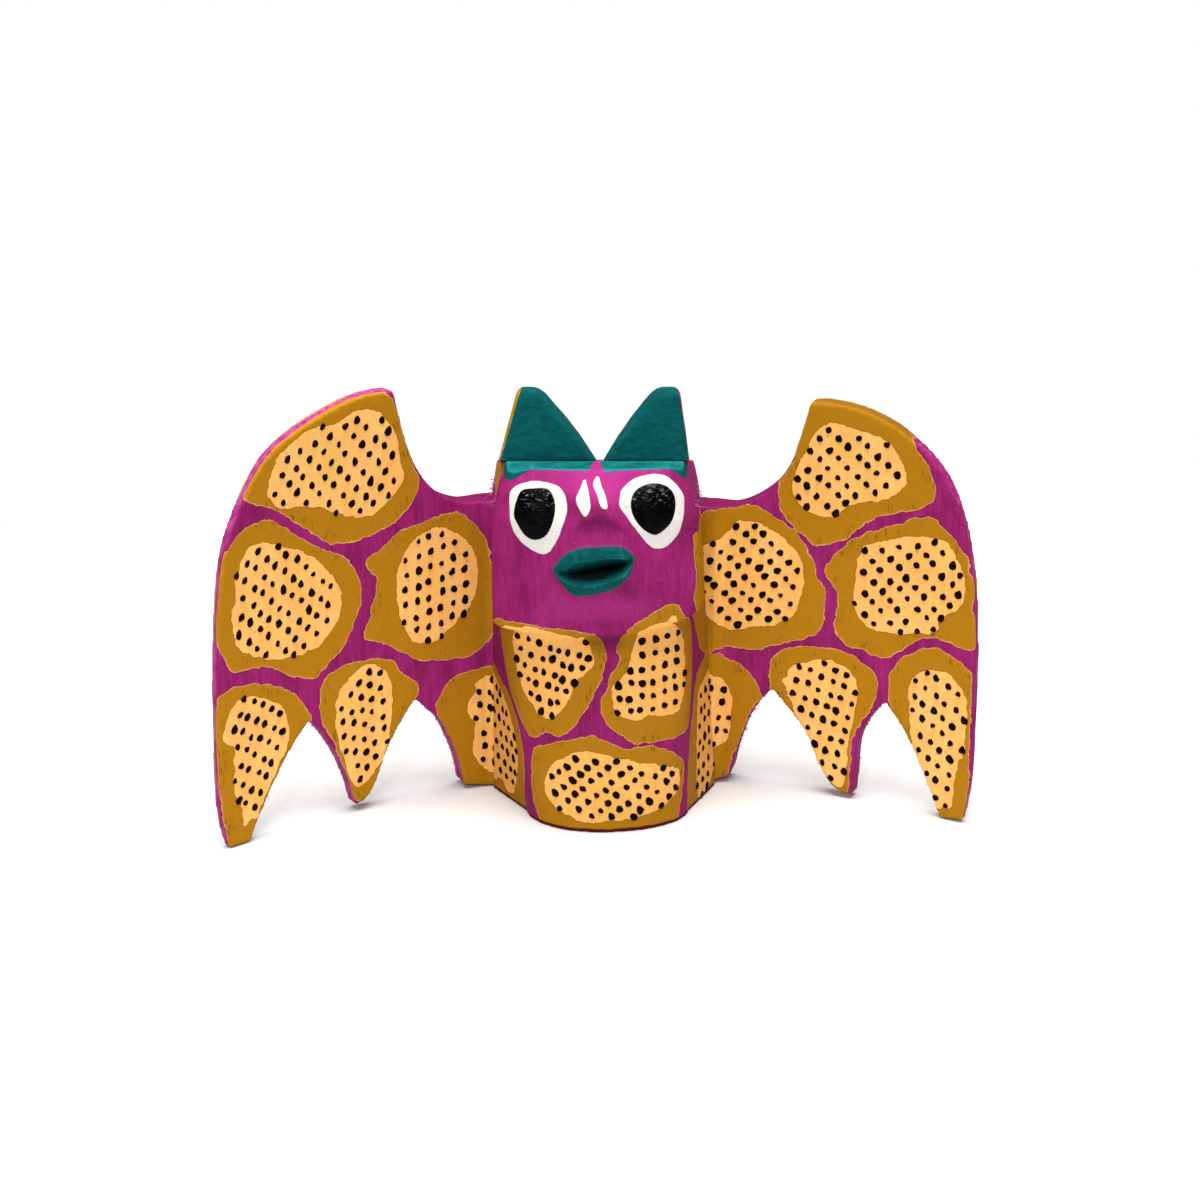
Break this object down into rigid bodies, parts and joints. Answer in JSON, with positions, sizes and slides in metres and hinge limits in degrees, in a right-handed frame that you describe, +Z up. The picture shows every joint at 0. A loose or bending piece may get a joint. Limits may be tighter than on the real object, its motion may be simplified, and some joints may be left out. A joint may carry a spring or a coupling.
{
  "type": "alebrije bat figure",
  "caption": "Small carved and painted wooden bat that stands on its body and wing tips, with spread, bowed, scalloped wings, two upright ears and a face with round eyes.",
  "frame": {"origin": "middle of the flat base, on the surface that the figure stands on", "axes": "+X to the viewer's right across the wings, +Y away from the viewer to the figure's back, +Z up"},
  "size_m": [0.1128, 0.0329, 0.0656],
  "materials": {
    "magenta_paint": "acrylic paint by hand: magenta with ochre and cream patches and black dots",
    "teal_paint": "acrylic paint by hand",
    "bare_wood": "unpainted"
  },
  "bodies": {
    "root": {"head_and_body": "magenta_paint", "left_wing": "magenta_paint", "right_wing": "magenta_paint", "left_ear": "teal_paint", "right_ear": "teal_paint", "left_wing_lower_peg": "bare_wood", "left_wing_upper_peg": "bare_wood", "right_wing_lower_peg": "bare_wood", "right_wing_upper_peg": "bare_wood", "left_ear_peg": "bare_wood", "right_ear_peg": "bare_wood"}
  },
  "joints": []
}
